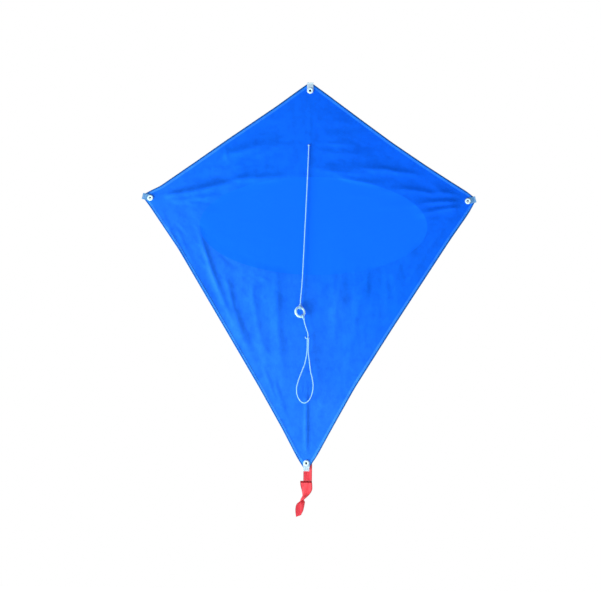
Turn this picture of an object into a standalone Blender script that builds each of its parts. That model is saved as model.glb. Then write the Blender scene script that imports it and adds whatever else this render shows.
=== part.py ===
"""Diamond kite with a 600 x 700 mm sail: two crossed rods, four riveted end caps, a bridle string
with a tow ring and a towing loop, and a ribbon tail.

Units are metres and +Z is up. The origin is the centre of the nose eyelet. The sail hangs in the XZ
plane, with its front to -Y, so left and right are as seen from the front.
"""

import math

import bmesh
import bpy
from mathutils import Matrix, Vector

MM = 0.001
GAP = 0.3 * MM

# Sail: a diamond with slightly hollow edges
WING_CORNER_X = 301.5 * MM
WING_CORNER_Z = -192.0 * MM
NOSE_CORNER_Z = 15.7 * MM
TAIL_CORNER_Z = -686.5 * MM
SAIL_THICKNESS = 0.6 * MM
UPPER_EDGE_HOLLOW = 1.5 * MM
LOWER_EDGE_HOLLOW = 4.0 * MM
EDGE_POINTS = 12

# Corner fittings, measured outward from the eyelet along the cap's strap
WING_EYELET = (286.0 * MM, -196.0 * MM)
TAIL_EYELET_Z = -670.6 * MM
CAP_REACH = 14.6 * MM
CAP_WALL = 1.7 * MM
LAP = 0.4 * MM
STRAP_RADIUS = 5.75 * MM
STRAP_THICKNESS = 1.0 * MM
STRAP_FRONT_Y = -1.6 * MM
WING_STRAP_ANGLE = math.radians(14.0)
WING_SOCKET_SHIFT = 1.4 * MM
SOCKET_RADIUS = 3.7 * MM
SOCKET_START = 5.3 * MM
BORE_RADIUS = 2.3 * MM
RIVET_HOLE_RADIUS = 2.55 * MM

# Rods
ROD_RADIUS = 2.0 * MM
ROD_Y = 4.6 * MM
SPREADER_MIDDLE_Y = 10.2 * MM
SPREADER_Z = WING_EYELET[1] + WING_SOCKET_SHIFT
SPREADER_POINTS = 41

# Cross connector: a square hub with four short sleeves
SLEEVE_RADIUS = 3.6 * MM
SLEEVE_REACH = 11.0 * MM
HUB_HALF = 5.0 * MM
HUB_FRONT_Y = 1.0 * MM
HUB_BACK_Y = 14.4 * MM

# Bridle string
STRING_RADIUS = 0.95 * MM
KNOT_RADIUS = 1.2 * MM
KNOT_TO_STRING = KNOT_RADIUS + GAP
BRIDLE_HOLE = (-1.3 * MM, -96.6 * MM)
BRIDLE_HOLE_RADIUS = 2.2 * MM
HOLE_KNOT = Vector((-1.3, -2.2, -98.8)) * MM
WRAP_RADIUS = 3.2 * MM
WRAP_TURNS = 2
WRAP_PITCH = 2.3 * MM
WRAP_TOP_Z = -89.9 * MM

# Tow ring
RING_CENTRE = Vector((-14.2, -8.5, -398.5)) * MM
RING_RADIUS = 8.7 * MM
RING_TUBE_RADIUS = 2.1 * MM
RING_LEAN = math.radians(28.0)
RING_TILT = math.radians(32.0)
UPPER_HITCH_ANGLE = math.radians(145.0)
LOWER_HITCH_ANGLE = math.radians(5.0)
HITCH_RADIUS = RING_TUBE_RADIUS + GAP + STRING_RADIUS
HITCH_PITCH = 2.4 * MM
HITCH_TO_KNOT = HITCH_RADIUS + STRING_RADIUS + GAP + KNOT_RADIUS

# Leash and towing loop
LOOP_KNOT = Vector((0.7, -8.1, -446.0)) * MM
LOOP_KNOT_SIZE = Vector((2.2, 2.0, 3.2)) * MM
STRAND_OFFSET = 1.1 * MM
TAG_RADIUS = 0.8 * MM

# Ribbon tail
RIBBON_THICKNESS = 0.5 * MM
RIBBON_Y = 9.4 * MM
FLAP_Z = -664.7 * MM
FLAP_FRONT_Y = 1.2 * MM
TAIL_LEFT_X = -5.0 * MM
TAIL_RIGHT_X = 10.5 * MM
TAIL_HINGE_Z = -665.2 * MM
FOLD_Z = -704.0 * MM
FOLD_GAP = 0.6 * MM

# Facets
ROUND_SIDES = 24
HOLE_SIDES = 24
RING_SEGMENTS = 48
RING_SIDES = 16
STRING_SPACING = 4.8 * MM
FINE_SPACING = 0.8 * MM
ROUTE_STEPS = 40
STREAMER_ROWS = 26
STREAMER_COLUMNS = 4


def clear_scene():
    for obj in list(bpy.data.objects):
        bpy.data.objects.remove(obj, do_unlink=True)
    for collection in list(bpy.data.collections):
        bpy.data.collections.remove(collection)


clear_scene()
KITE = bpy.data.collections.new("diamond_kite")
CUTTERS = bpy.data.collections.new("cutters")
bpy.context.scene.collection.children.link(KITE)
bpy.context.scene.collection.children.link(CUTTERS)


def material(name, colour, roughness, metallic=0.0, alpha=1.0):
    made = bpy.data.materials.new(name)
    made.use_nodes = True
    shader = made.node_tree.nodes["Principled BSDF"]
    shader.inputs["Base Color"].default_value = (*colour, 1.0)
    shader.inputs["Roughness"].default_value = roughness
    shader.inputs["Metallic"].default_value = metallic
    shader.inputs["Alpha"].default_value = alpha
    made.diffuse_color = (*colour, alpha)
    return made


TAFFETA = material("blue_taffeta", (0.005, 0.165, 0.93), 0.45)
FIBREGLASS = material("black_fibreglass", (0.015, 0.015, 0.017), 0.4)
CLEAR_PLASTIC = material("milky_plastic", (0.86, 0.89, 0.95), 0.3, alpha=0.8)
CONNECTOR_PLASTIC = material("black_plastic", (0.02, 0.02, 0.022), 0.5)
WHITE_ENAMEL = material("white_enamel", (0.9, 0.92, 0.94), 0.25)
STRING = material("white_string", (0.86, 0.9, 0.93), 0.8)
RING_PLASTIC = material("white_ring_plastic", (0.93, 0.94, 0.95), 0.25)
RIBBON = material("red_ribbon", (0.88, 0.035, 0.05), 0.5)


def add(name, data, mat, location=(0, 0, 0), rotation=(0, 0, 0)):
    """An object of the kite, with its material."""
    obj = bpy.data.objects.new(name, data)
    data.name = name
    data.materials.clear()
    data.materials.append(mat)
    obj.location = location
    obj.rotation_euler = rotation
    KITE.objects.link(obj)
    return obj


def shade(mesh):
    mesh.shade_smooth()
    mesh.set_sharp_from_angle(angle=math.radians(35))
    return mesh


def pivot(name, location, parent=None):
    """An empty on a joint's axis; what hangs from it keeps its place."""
    empty = bpy.data.objects.new(name, None)
    empty.empty_display_size = 8 * MM
    empty.location = location
    KITE.objects.link(empty)
    if parent:
        hang(empty, parent)
    return empty


def hang(obj, parent):
    obj.parent = parent
    obj.matrix_parent_inverse = Matrix.Translation(-parent.location)


# ---------------------------------------------------------------- shape helpers


def circle(centre, radius, sides=HOLE_SIDES):
    turns = [2 * math.pi * i / sides for i in range(sides)]
    return [(centre[0] + radius * math.cos(t), centre[1] + radius * math.sin(t)) for t in turns]


def plate_curve(name, loops, thickness):
    """A filled 2D curve: the first loop is the outline, and the others are holes."""
    curve = bpy.data.curves.new(name, "CURVE")
    curve.dimensions = "2D"
    curve.fill_mode = "BOTH"
    curve.extrude = thickness / 2
    for loop in loops:
        spline = curve.splines.new("POLY")
        spline.points.add(len(loop) - 1)
        for point, (x, y) in zip(spline.points, loop):
            point.co = (x, y, 0, 1)
        spline.use_cyclic_u = True
    return curve


def curve_mesh(curve):
    """The closed mesh of a curve, with its caps welded on."""
    holder = bpy.data.objects.new("holder", curve)
    bpy.context.scene.collection.objects.link(holder)
    bpy.context.view_layer.update()
    evaluated = holder.evaluated_get(bpy.context.evaluated_depsgraph_get())
    mesh = bpy.data.meshes.new_from_object(evaluated)
    bpy.data.objects.remove(holder, do_unlink=True)
    bm = bmesh.new()
    bm.from_mesh(mesh)
    bmesh.ops.remove_doubles(bm, verts=bm.verts, dist=0.001 * MM)
    bmesh.ops.recalc_face_normals(bm, faces=bm.faces)
    bm.to_mesh(mesh)
    bm.free()
    return mesh


def tube(name, points, radius, mat, resolution=2):
    """A string or rod along the points, with filled ends."""
    curve = bpy.data.curves.new(name, "CURVE")
    curve.dimensions = "3D"
    curve.bevel_depth = radius
    curve.bevel_resolution = resolution
    curve.use_fill_caps = True
    spline = curve.splines.new("POLY")
    spline.points.add(len(points) - 1)
    for point, place in zip(spline.points, points):
        point.co = (*place, 1)
    return add(name, curve, mat)


def catmull_rom(a, b, c, d, t):
    """A point between b and c on the smooth curve through all four."""
    square = 2 * a - 5 * b + 4 * c - d
    cube = 3 * b - a - 3 * c + d
    return 0.5 * (2 * b + (c - a) * t + square * t * t + cube * t * t * t)


def smooth_route(route, spacing=None, spans=None):
    """Points on a smooth curve through the route, about a spacing apart or in so many equal spans."""
    knots = [2 * route[0] - route[1], *route, 2 * route[-1] - route[-2]]
    fine = []
    for a, b, c, d in zip(knots, knots[1:], knots[2:], knots[3:]):
        fine += [catmull_rom(a, b, c, d, i / ROUTE_STEPS) for i in range(ROUTE_STEPS)]
    fine.append(route[-1])
    lengths = [0.0]
    for one, other in zip(fine, fine[1:]):
        lengths.append(lengths[-1] + (other - one).length)
    spans = spans or max(1, round(lengths[-1] / spacing))
    points = []
    at = 0
    for i in range(spans + 1):
        target = lengths[-1] * i / spans
        while at < len(fine) - 2 and lengths[at + 1] < target:
            at += 1
        share = (target - lengths[at]) / (lengths[at + 1] - lengths[at])
        points.append(fine[at].lerp(fine[at + 1], share))
    return points


def turned(name, profile, mat, location):
    """A piece turned about an axis that points to the front, from a closed profile of (radius, height)."""
    mesh = bpy.data.meshes.new(name)
    count = len(profile)
    mesh.from_pydata([(r, 0, h) for r, h in profile], [(i, (i + 1) % count) for i in range(count)], [])
    obj = add(name, mesh, mat, location, (math.pi / 2, 0, 0))
    screw = obj.modifiers.new("turn", "SCREW")
    screw.steps = ROUND_SIDES
    screw.render_steps = ROUND_SIDES
    screw.use_merge_vertices = True
    screw.merge_threshold = 0.01 * MM
    screw.use_smooth_shade = True
    return obj


def cylinder_mesh(name, radius, low, high, axis="Z"):
    """A cylinder along one axis, between two heights on it."""
    bm = bmesh.new()
    made = bmesh.ops.create_cone(
        bm, cap_ends=True, segments=ROUND_SIDES, radius1=radius, radius2=radius, depth=high - low
    )
    bmesh.ops.translate(bm, verts=made["verts"], vec=(0, 0, (high + low) / 2))
    if axis == "X":
        bmesh.ops.rotate(bm, verts=bm.verts, matrix=Matrix.Rotation(math.pi / 2, 3, "Y"))
    mesh = bpy.data.meshes.new(name)
    bm.to_mesh(mesh)
    bm.free()
    return mesh


def box_mesh(name, low, high):
    low = Vector(low)
    high = Vector(high)
    bm = bmesh.new()
    bmesh.ops.create_cube(bm, size=1.0)
    bmesh.ops.scale(bm, verts=bm.verts, vec=high - low)
    bmesh.ops.translate(bm, verts=bm.verts, vec=(low + high) / 2)
    mesh = bpy.data.meshes.new(name)
    bm.to_mesh(mesh)
    bm.free()
    return mesh


def cutter(name, mesh, location=(0, 0, 0), rotation=(0, 0, 0)):
    """A hidden shape that a Boolean cuts away or joins on."""
    obj = bpy.data.objects.new(name, mesh)
    obj.location = location
    obj.rotation_euler = rotation
    obj.display_type = "WIRE"
    obj.hide_render = True
    CUTTERS.objects.link(obj)
    return obj


def boolean(target, tool, operation):
    modifier = target.modifiers.new(tool.name, "BOOLEAN")
    modifier.operation = operation
    modifier.solver = "EXACT"
    modifier.object = tool


def knot_ball(name, centre, size):
    """A tight knot, as a small round body."""
    bm = bmesh.new()
    bmesh.ops.create_uvsphere(bm, u_segments=16, v_segments=10, radius=1.0)
    bmesh.ops.scale(bm, verts=bm.verts, vec=size)
    mesh = bpy.data.meshes.new(name)
    bm.to_mesh(mesh)
    bm.free()
    return add(name, shade(mesh), STRING, centre)


# ---------------------------------------------------------------- sail


def hollow_edge(start, end, hollow):
    """Points from one corner up to the next, on an edge that curves in by its hollow at the middle."""
    start = Vector(start)
    end = Vector(end)
    along = end - start
    inward = Vector((along.y, -along.x)).normalized()
    points = []
    for i in range(EDGE_POINTS):
        t = i / EDGE_POINTS
        points.append(start + along * t + inward * (4 * hollow * t * (1 - t)))
    return points


def cut_corner(points, eyelet, outward, reach):
    """Replaces what lies beyond the reach by a straight cut across the corner."""
    kept = []
    count = len(points)
    for i, point in enumerate(points):
        ahead = points[(i + 1) % count]
        depth = (point - eyelet).dot(outward) - reach
        depth_ahead = (ahead - eyelet).dot(outward) - reach
        if depth <= 0:
            kept.append(point)
        if depth * depth_ahead < 0:
            kept.append(point.lerp(ahead, depth / (depth - depth_ahead)))
    return kept


def make_sail():
    nose = (0, NOSE_CORNER_Z)
    right = (WING_CORNER_X, WING_CORNER_Z)
    tail = (0, TAIL_CORNER_Z)
    left = (-WING_CORNER_X, WING_CORNER_Z)
    outline = hollow_edge(nose, right, UPPER_EDGE_HOLLOW)
    outline += hollow_edge(right, tail, LOWER_EDGE_HOLLOW)
    outline += hollow_edge(tail, left, LOWER_EDGE_HOLLOW)
    outline += hollow_edge(left, nose, UPPER_EDGE_HOLLOW)
    reach = CAP_REACH - CAP_WALL - GAP
    for eyelet, angle in corner_places():
        outward = Vector((math.cos(angle), math.sin(angle)))
        outline = cut_corner(outline, Vector(eyelet), outward, reach)
    loops = [outline] + [circle(eyelet, RIVET_HOLE_RADIUS) for eyelet, _ in corner_places()]
    loops.append(circle(BRIDLE_HOLE, BRIDLE_HOLE_RADIUS))
    mesh = curve_mesh(plate_curve("sail", loops, SAIL_THICKNESS))
    add("sail", mesh, TAFFETA, rotation=(math.pi / 2, 0, 0))


def corner_places():
    """Each eyelet's (x, z) and the direction in which its strap runs outward, as an angle from +X."""
    x, z = WING_EYELET
    return [
        ((0, 0), math.pi / 2),
        ((x, z), WING_STRAP_ANGLE),
        ((0, TAIL_EYELET_Z), -math.pi / 2),
        ((-x, z), math.pi - WING_STRAP_ANGLE),
    ]


# ---------------------------------------------------------------- end caps, eyelets and washers


def strap_mesh(angle):
    """The cap's front strap: round about the eyelet, then straight out at an angle from local +Z."""
    outline = []
    for i in range(HOLE_SIDES // 2 + 1):
        turn = math.pi + math.pi * i / (HOLE_SIDES // 2)
        outline.append((STRAP_RADIUS * math.cos(turn), STRAP_RADIUS * math.sin(turn)))
    outline += [(STRAP_RADIUS, CAP_REACH - LAP), (-STRAP_RADIUS, CAP_REACH - LAP)]
    loops = [outline, circle((0, 0), RIVET_HOLE_RADIUS)]
    mesh = curve_mesh(plate_curve("strap", loops, STRAP_THICKNESS))
    mesh.transform(Matrix.Rotation(math.pi / 2, 4, "X"))
    mesh.transform(Matrix.Translation((0, STRAP_FRONT_Y + STRAP_THICKNESS / 2, 0)))
    mesh.transform(Matrix.Rotation(angle, 4, "Y"))
    return mesh


def cap_mesh(angle, shift):
    """An end cap with its tip at local +Z: the front strap, the tip wall and the blind rod socket.

    Each of the three laps into the next, so that they join as one moulding.
    """
    cap = bpy.data.objects.new("cap", strap_mesh(angle))
    bpy.context.scene.collection.objects.link(cap)
    wall = box_mesh(
        "tip_wall",
        (LAP / 2 - STRAP_RADIUS, STRAP_FRONT_Y - LAP / 2, CAP_REACH - CAP_WALL),
        (STRAP_RADIUS - LAP / 2, ROD_Y + LAP, CAP_REACH),
    )
    tip_wall = cutter("tip_wall", wall, rotation=(0, angle, 0))
    place = (shift, ROD_Y, 0)
    barrel = cylinder_mesh("socket", SOCKET_RADIUS, SOCKET_START, CAP_REACH - LAP)
    inside = cylinder_mesh("bore", BORE_RADIUS, SOCKET_START - LAP, CAP_REACH - CAP_WALL)
    socket = cutter("socket", barrel, place)
    bore = cutter("bore", inside, place)
    boolean(cap, tip_wall, "UNION")
    boolean(cap, socket, "UNION")
    boolean(cap, bore, "DIFFERENCE")
    bpy.context.view_layer.update()
    evaluated = cap.evaluated_get(bpy.context.evaluated_depsgraph_get())
    mesh = bpy.data.meshes.new_from_object(evaluated)
    for used in (cap, tip_wall, socket, bore):
        bpy.data.objects.remove(used, do_unlink=True)
    return shade(mesh)


# (radius, height above the sail's middle plane): the flange, the barrel and the rolled lip
EYELET_PROFILE = [
    (1.75, 2.25), (2.0, 2.65), (2.6, 2.95), (3.5, 3.05), (4.4, 2.85), (5.0, 2.4), (5.1, 1.95), (4.9, 1.9),
    (2.25, 1.9), (2.25, -1.5), (3.5, -1.5), (3.6, -1.75), (3.3, -2.05), (2.4, -2.1), (1.75, -1.8),
]
WASHER_PROFILE = [(2.55, -0.6), (4.6, -0.6), (4.8, -0.8), (4.8, -1.1), (4.6, -1.2), (2.55, -1.2)]


def in_mm(profile):
    return [(r * MM, h * MM) for r, h in profile]


def make_corners():
    straight = cap_mesh(0.0, 0.0)
    right = cap_mesh(-WING_STRAP_ANGLE, -WING_SOCKET_SHIFT)
    left = cap_mesh(WING_STRAP_ANGLE, WING_SOCKET_SHIFT)
    x, z = WING_EYELET
    corners = [
        ("nose", straight, (0, 0, 0), 0.0),
        ("right_wing", right, (x, 0, z), math.pi / 2),
        ("tail", straight, (0, 0, TAIL_EYELET_Z), math.pi),
        ("left_wing", left, (-x, 0, z), -math.pi / 2),
    ]
    for name, mesh, place, turn in corners:
        add(name + "_cap", mesh, CLEAR_PLASTIC, place, (0, turn, 0))
        turned(name + "_eyelet", in_mm(EYELET_PROFILE), WHITE_ENAMEL, place)
        turned(name + "_washer", in_mm(WASHER_PROFILE), WHITE_ENAMEL, place)


# ---------------------------------------------------------------- rods and connector


def spreader_route():
    """The spreader lies straight in both sockets, and bows back over the spine between them."""
    mouth = WING_EYELET[0] + SOCKET_START
    end = WING_EYELET[0] + CAP_REACH - CAP_WALL - GAP
    points = [Vector((-end, ROD_Y, SPREADER_Z))]
    for i in range(SPREADER_POINTS):
        s = -1 + 2 * i / (SPREADER_POINTS - 1)
        rise = 1 - 3 * s * s + 2 * abs(s) ** 3
        points.append(Vector((s * mouth, ROD_Y + (SPREADER_MIDDLE_Y - ROD_Y) * rise, SPREADER_Z)))
    points.append(Vector((end, ROD_Y, SPREADER_Z)))
    return points


def make_rods():
    end = CAP_REACH - CAP_WALL - GAP
    spine = shade(cylinder_mesh("spine_rod", ROD_RADIUS, TAIL_EYELET_Z - end, end))
    add("spine_rod", spine, FIBREGLASS, (0, ROD_Y, 0))
    tube("spreader_rod", spreader_route(), ROD_RADIUS, FIBREGLASS, resolution=4)


def make_connector():
    low = (-HUB_HALF, HUB_FRONT_Y, -HUB_HALF)
    high = (HUB_HALF, HUB_BACK_Y, HUB_HALF)
    hub = box_mesh("cross_connector", low, high)
    connector = add("cross_connector", hub, CONNECTOR_PLASTIC, (0, 0, SPREADER_Z))
    sleeves = ("sleeve", SLEEVE_RADIUS, SLEEVE_REACH, "UNION")
    bores = ("rod_bore", BORE_RADIUS, SLEEVE_REACH + 1 * MM, "DIFFERENCE")
    for name, radius, reach, operation in (sleeves, bores):
        along_spine = cylinder_mesh(name + "_spine", radius, -reach, reach)
        along_spreader = cylinder_mesh(name + "_spreader", radius, -reach, reach, "X")
        boolean(connector, cutter(name + "_spine", along_spine, (0, ROD_Y, SPREADER_Z)), operation)
        place = (0, SPREADER_MIDDLE_Y, SPREADER_Z)
        boolean(connector, cutter(name + "_spreader", along_spreader, place), operation)


# ---------------------------------------------------------------- bridle


def wrap_route():
    """Two turns round the spine, and then forward and down through the hole in the sail."""
    leave = math.radians(45)
    steps = 16 * WRAP_TURNS
    points = []
    for i in range(steps + 1):
        turn = leave + 2 * math.pi * WRAP_TURNS * (1 - i / steps)
        x = -WRAP_RADIUS * math.sin(turn)
        y = ROD_Y - WRAP_RADIUS * math.cos(turn)
        points.append(Vector((x, y, WRAP_TOP_Z - WRAP_PITCH * WRAP_TURNS * i / steps)))
    through = Vector((0, 1, 1)).normalized()
    exit_route = [points[-1], Vector((-1.65, 1.6, -95.05)) * MM, Vector((-1.35, 0.8, -95.8)) * MM]
    exit_route += [Vector((BRIDLE_HOLE[0], 0, BRIDLE_HOLE[1])), HOLE_KNOT + KNOT_TO_STRING * through]
    return points[:-1] + smooth_route(exit_route, FINE_SPACING)


def ring_axes():
    """The ring's long direction in the picture plane, its tilted short direction, and its own axis."""
    long = Vector((math.sin(RING_LEAN), 0, -math.cos(RING_LEAN)))
    across = Vector((math.cos(RING_LEAN), 0, math.sin(RING_LEAN)))
    short = across * math.cos(RING_TILT) + Vector((0, math.sin(RING_TILT), 0))
    return long, short, long.cross(short)


def ring_radial(angle):
    long, short, _ = ring_axes()
    return long * math.cos(angle) + short * math.sin(angle)


def on_ring(angle):
    return RING_CENTRE + RING_RADIUS * ring_radial(angle)


def hitch_route(angle):
    """One turn of string round the ring's tube."""
    axis = ring_axes()[2]
    steps = 20
    points = []
    for i in range(steps + 1):
        share = i / steps
        at = angle + (share - 0.5) * HITCH_PITCH / RING_RADIUS
        turn = 2 * math.pi * share
        out = ring_radial(at) * math.cos(turn) + axis * math.sin(turn)
        points.append(on_ring(at) + HITCH_RADIUS * out)
    return points


UPPER_KNOT = on_ring(UPPER_HITCH_ANGLE) + HITCH_TO_KNOT * Vector((0.02, 0.1, 1)).normalized()
LOWER_KNOT = on_ring(LOWER_HITCH_ANGLE) + HITCH_TO_KNOT * Vector((0.45, 0, -0.89)).normalized()


def between_knots(start, middle, end):
    """A route from knot to knot that stops short of both by the knot and its gap."""
    first = start + KNOT_TO_STRING * (middle[0] - start).normalized()
    last = end + KNOT_TO_STRING * (middle[-1] - end).normalized()
    return [first, *middle, last]


def upper_leg_route():
    middle = [
        (-1.6, -2.5, -108.0), (-3.2, -3.1, -158.0), (-6.6, -4.0, -245.0),
        (-10.2, -4.7, -333.0), (-12.9, -5.1, -372.0),
    ]
    return between_knots(HOLE_KNOT, [Vector(p) * MM for p in middle], UPPER_KNOT)


def leash_route():
    middle = [Vector(p) * MM for p in ((-4.9, -8.1, -421.0), (-1.2, -8.1, -432.0), (0.6, -8.1, -438.5))]
    top = LOOP_KNOT + Vector((0, 0, LOOP_KNOT_SIZE.z + GAP))
    return [LOWER_KNOT + KNOT_TO_STRING * (middle[0] - LOWER_KNOT).normalized(), *middle, top]


def loop_route():
    """From under the knot, down the left strand, round the bottom and up the right strand."""
    under = LOOP_KNOT.z - LOOP_KNOT_SIZE.z - 0.4 * MM
    y = LOOP_KNOT.y
    left = Vector((LOOP_KNOT.x - STRAND_OFFSET, y, under))
    right = Vector((LOOP_KNOT.x + STRAND_OFFSET, y, under))
    shape = [
        (-0.8, -470), (-4.2, -490), (-8.8, -503), (-15.0, -520), (-18.6, -534),
        (-17.9, -547), (-12.3, -558), (-4.0, -562), (4.4, -556), (9.6, -543),
        (10.8, -530), (8.8, -516), (6.0, -505), (3.6, -486), (1.5, -470),
    ]
    return [left, *(Vector((x * MM, y, z * MM)) for x, z in shape), right]


def make_bridle():
    tube("bridle_anchor_wrap", wrap_route(), STRING_RADIUS, STRING)
    round_knot = Vector((KNOT_RADIUS, KNOT_RADIUS, KNOT_RADIUS))
    knot_ball("bridle_hole_knot", HOLE_KNOT, round_knot)

    lift = pivot("bridle_lift_axis", HOLE_KNOT)
    leg = smooth_route(upper_leg_route(), STRING_SPACING)
    hang(tube("bridle_upper_leg", leg, STRING_RADIUS, STRING), lift)

    swing = pivot("ring_swing_axis", UPPER_KNOT, lift)
    hang(knot_ball("ring_knot_upper", UPPER_KNOT, round_knot), swing)
    make_ring(swing)
    hang(tube("ring_hitch_upper", hitch_route(UPPER_HITCH_ANGLE), STRING_RADIUS, STRING), swing)
    hang(tube("ring_hitch_lower", hitch_route(LOWER_HITCH_ANGLE), STRING_RADIUS, STRING), swing)
    hang(knot_ball("ring_knot_lower", LOWER_KNOT, round_knot), swing)

    leash = pivot("leash_swing_axis", LOWER_KNOT, swing)
    line = smooth_route(leash_route(), STRING_SPACING / 2)
    hang(tube("leash_line", line, STRING_RADIUS, STRING), leash)
    hang(knot_ball("loop_knot", LOOP_KNOT, LOOP_KNOT_SIZE), leash)
    tag = [Vector(p) * MM for p in ((-2.5, -8.1, -446.6), (-3.4, -8.2, -445.4), (-4.3, -8.4, -443.6))]
    hang(tube("knot_tag_end", smooth_route(tag, FINE_SPACING), TAG_RADIUS, STRING), leash)

    loop = pivot("loop_swing_axis", LOOP_KNOT, leash)
    hang(tube("tow_loop", smooth_route(loop_route(), STRING_SPACING), STRING_RADIUS, STRING), loop)


def make_ring(parent):
    bpy.ops.mesh.primitive_torus_add(
        major_radius=RING_RADIUS,
        minor_radius=RING_TUBE_RADIUS,
        major_segments=RING_SEGMENTS,
        minor_segments=RING_SIDES,
    )
    made = bpy.context.object
    mesh = made.data.copy()
    bpy.data.objects.remove(made, do_unlink=True)
    facing = Matrix(ring_axes()).transposed().to_4x4()
    mesh.transform(facing)
    ring = add("tow_ring", shade(mesh), RING_PLASTIC, RING_CENTRE)
    hang(ring, parent)


# ---------------------------------------------------------------- ribbon tail


def make_flap():
    """The ribbon's top end lies flat across the spine rod, which pierces it."""
    outline = [(TAIL_LEFT_X, FLAP_FRONT_Y), (TAIL_RIGHT_X, FLAP_FRONT_Y)]
    outline += [(TAIL_RIGHT_X, RIBBON_Y), (TAIL_LEFT_X, RIBBON_Y)]
    hole = circle((0, ROD_Y), BORE_RADIUS)
    mesh = curve_mesh(plate_curve("tail_flap", [outline, hole], RIBBON_THICKNESS))
    add("tail_flap", mesh, RIBBON, (0, 0, FLAP_Z))


# The streamer's edges down from the fold, through half a turn, to a slanted cut: (x, y, z)
STREAMER_LEFT = [
    (-10.6, 9.4, -704.3), (-9.9, 9.6, -712.0), (-7.9, 10.6, -719.5), (-6.6, 13.0, -727.0),
    (-5.6, 16.2, -733.5), (-3.9, 16.8, -737.5), (-1.6, 14.6, -741.5), (-2.6, 12.6, -747.5),
    (-4.8, 12.4, -757.0), (-8.5, 11.6, -765.0),
]
STREAMER_RIGHT = [
    (10.6, 9.4, -704.3), (11.3, 9.2, -712.0), (10.9, 8.2, -719.5), (6.8, 5.8, -727.0),
    (0.2, 2.6, -733.5), (-4.9, 2.0, -737.5), (-13.4, 4.2, -741.5), (-17.8, 6.2, -747.5),
    (-18.8, 6.4, -757.0), (-17.4, 7.2, -768.2),
]


def make_streamer(parent):
    edges = []
    for edge in (STREAMER_LEFT, STREAMER_RIGHT):
        edges.append(smooth_route([Vector(p) * MM for p in edge], spans=STREAMER_ROWS))
    columns = [i / STREAMER_COLUMNS for i in range(STREAMER_COLUMNS + 1)]
    bm = bmesh.new()
    grid = [[bm.verts.new(left.lerp(right, share)) for share in columns] for left, right in zip(*edges)]
    for upper, lower in zip(grid, grid[1:]):
        for i in range(STREAMER_COLUMNS):
            bm.faces.new((upper[i], lower[i], lower[i + 1], upper[i + 1]))
    mesh = bpy.data.meshes.new("tail_streamer")
    bm.to_mesh(mesh)
    bm.free()
    streamer = add("tail_streamer", mesh, RIBBON)
    solid = streamer.modifiers.new("thickness", "SOLIDIFY")
    solid.thickness = RIBBON_THICKNESS
    solid.offset = 0
    hang(streamer, parent)


def make_tail():
    make_flap()
    swing = pivot("tail_swing_axis", (0, RIBBON_Y, TAIL_HINGE_Z))
    half = RIBBON_THICKNESS / 2
    low = (TAIL_LEFT_X, RIBBON_Y - half, FOLD_Z + FOLD_GAP / 2)
    high = (TAIL_RIGHT_X, RIBBON_Y + half, TAIL_HINGE_Z - GAP)
    upper = add("tail_upper", box_mesh("tail_upper", low, high), RIBBON)
    hang(upper, swing)
    fold = pivot("tail_fold_axis", (0, RIBBON_Y, FOLD_Z), swing)
    make_streamer(fold)


make_sail()
make_corners()
make_rods()
make_connector()
make_bridle()
make_tail()
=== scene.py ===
"""The looks of the diamond kite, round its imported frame.

Everything is in metres in the frame's own axes: x right, y back and z up, from the centre of the
nose eyelet. Tables of places are in millimetres where they say so.
"""

import math

import bmesh
import bpy
import numpy as np
from mathutils import Matrix, Vector, noise


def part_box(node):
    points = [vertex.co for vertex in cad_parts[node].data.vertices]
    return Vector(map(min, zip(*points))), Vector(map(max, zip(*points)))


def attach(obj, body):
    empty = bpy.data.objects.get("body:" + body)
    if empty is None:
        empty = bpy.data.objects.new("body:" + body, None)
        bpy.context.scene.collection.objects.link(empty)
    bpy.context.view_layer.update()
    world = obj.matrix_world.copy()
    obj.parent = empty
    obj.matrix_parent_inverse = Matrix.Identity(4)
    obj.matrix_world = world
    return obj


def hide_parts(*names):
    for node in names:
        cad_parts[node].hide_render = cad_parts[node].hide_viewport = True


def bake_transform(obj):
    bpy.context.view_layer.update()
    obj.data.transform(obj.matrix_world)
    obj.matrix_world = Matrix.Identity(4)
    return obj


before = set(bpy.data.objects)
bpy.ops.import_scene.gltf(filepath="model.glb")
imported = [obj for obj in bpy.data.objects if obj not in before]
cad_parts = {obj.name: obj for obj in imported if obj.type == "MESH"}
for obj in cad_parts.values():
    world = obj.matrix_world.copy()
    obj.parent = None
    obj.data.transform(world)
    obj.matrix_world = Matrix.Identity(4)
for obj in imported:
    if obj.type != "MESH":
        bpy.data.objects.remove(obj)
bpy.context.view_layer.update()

MM = 0.001


def node_centre(name):
    low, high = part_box(name)
    return (low + high) / 2


# The eyelets give the corners their places
NOSE = node_centre("nose_eyelet")
RIGHT = node_centre("right_wing_eyelet")
LEFT = node_centre("left_wing_eyelet")
TAIL = node_centre("tail_eyelet")
EYELETS = (NOSE, RIGHT, TAIL, LEFT)
SPINE = node_centre("spine_rod")

# Sail
NOSE_BEYOND = 15.7 * MM
TAIL_BEYOND = 15.9 * MM
WING_BEYOND = 15.5 * MM
WING_RISE = 4.0 * MM
CUT_REACH = 12.6 * MM
WING_STRAP_ANGLE = math.radians(14.0)
SAIL_THICKNESS = 0.3 * MM
SAIL_CELLS = 150
RIVET_HOLE_RADIUS = 2.55 * MM
ROD_RADIUS = 2.0 * MM
BRIDLE_HOLE = Vector((-1.3, 0, -98.0)) * MM
BRIDLE_HOLE_RADIUS = 1.5 * MM

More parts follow.
